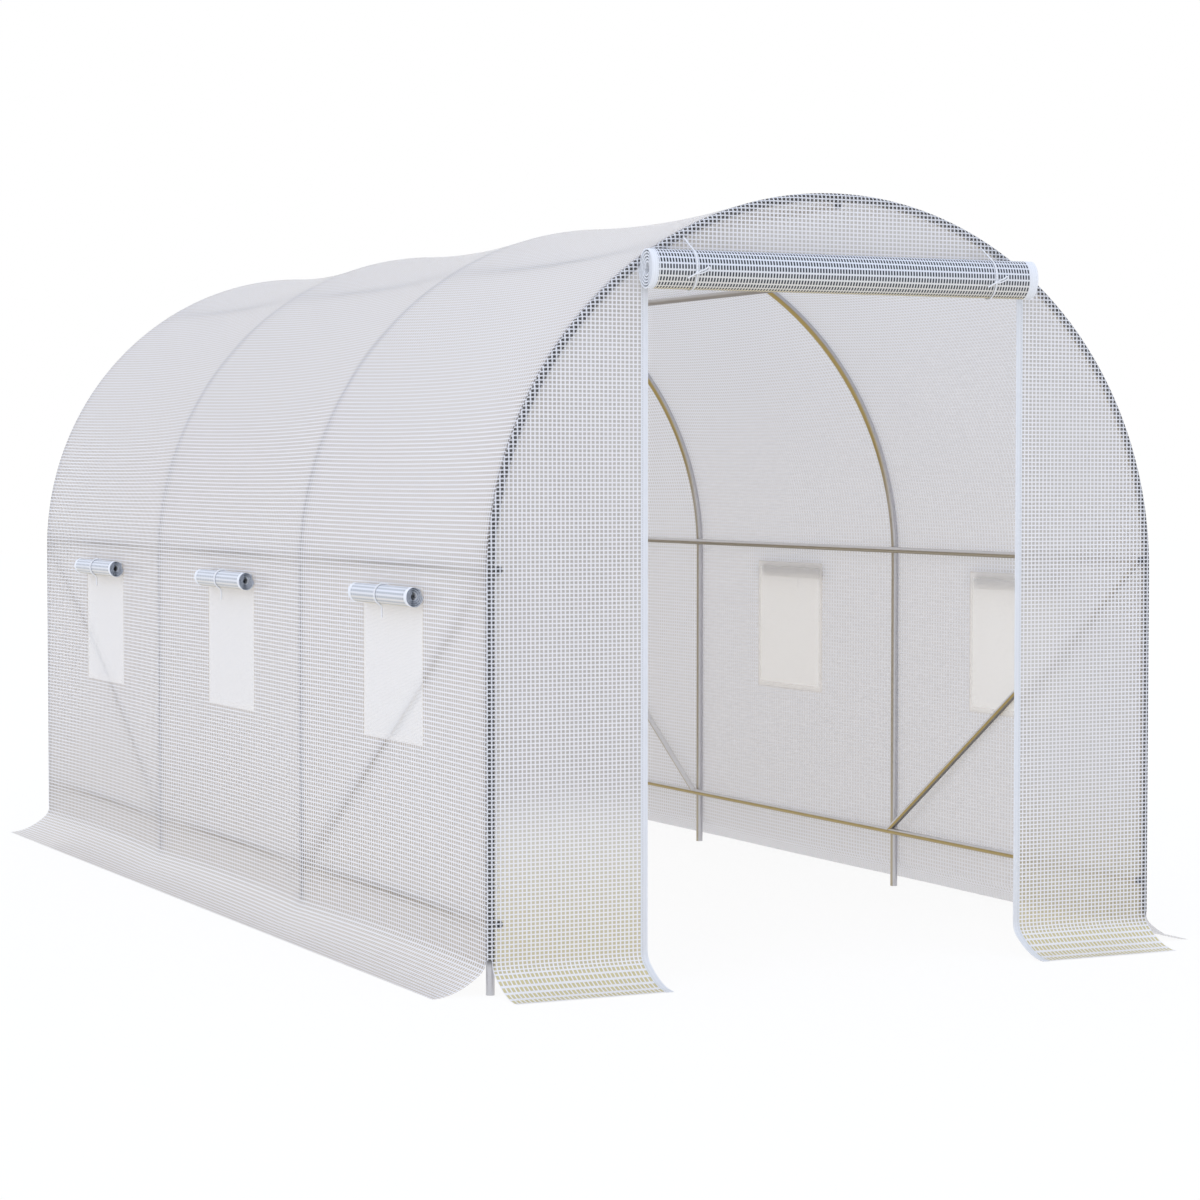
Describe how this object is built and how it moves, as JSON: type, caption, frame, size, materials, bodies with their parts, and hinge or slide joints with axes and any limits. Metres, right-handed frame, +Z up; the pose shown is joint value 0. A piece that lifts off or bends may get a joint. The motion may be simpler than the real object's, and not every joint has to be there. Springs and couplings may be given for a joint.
{
  "type": "polytunnel greenhouse",
  "caption": "Walk-in polytunnel greenhouse: hooped steel tube frame under a white grid-reinforced cover, with a rolled-up door, meshed side windows and ground skirts.",
  "frame": {"origin": "middle of the footprint, at ground level", "axes": "+Y along the tunnel towards its closed back end, +X across to the right as seen from the doorway, +Z up"},
  "size_m": [2.2906, 4.3026, 2.0371],
  "materials": {
    "galvanised_steel": "galvanised, dull bright",
    "cover_film": "translucent film with a woven reinforcing grid",
    "skirt_film": "translucent film with a woven reinforcing grid",
    "insect_mesh": "fine open mesh",
    "rolled_film": "rolled translucent film with a woven reinforcing grid",
    "tie_string": "flat woven string"
  },
  "bodies": {
    "root": {"front_hoop": "galvanised_steel", "second_hoop": "galvanised_steel", "third_hoop": "galvanised_steel", "back_hoop": "galvanised_steel", "ridge_purlin": "galvanised_steel", "left_upper_purlin": "galvanised_steel", "right_upper_purlin": "galvanised_steel", "left_mid_rail": "galvanised_steel", "right_mid_rail": "galvanised_steel", "left_base_rail": "galvanised_steel", "right_base_rail": "galvanised_steel", "left_front_brace": "galvanised_steel", "left_back_brace": "galvanised_steel", "right_front_brace": "galvanised_steel", "right_back_brace": "galvanised_steel", "front_roof": "cover_film", "middle_roof": "cover_film", "back_roof": "cover_film", "left_front_wall": "cover_film", "left_middle_wall": "cover_film", "left_back_wall": "cover_film", "right_front_wall": "cover_film", "right_middle_wall": "cover_film", "right_back_wall": "cover_film", "front_left_panel": "cover_film", "front_right_panel": "cover_film", "front_gable": "cover_film", "back_panel": "cover_film", "left_skirt": "skirt_film", "right_skirt": "skirt_film", "front_left_skirt": "skirt_film", "front_right_skirt": "skirt_film", "back_skirt": "skirt_film", "left_window_screens": "insect_mesh", "right_window_screens": "insect_mesh", "left_window_rolls": "rolled_film", "right_window_rolls": "rolled_film", "door_roll": "rolled_film", "left_window_ties": "tie_string", "right_window_ties": "tie_string", "door_ties": "tie_string"}
  },
  "joints": []
}
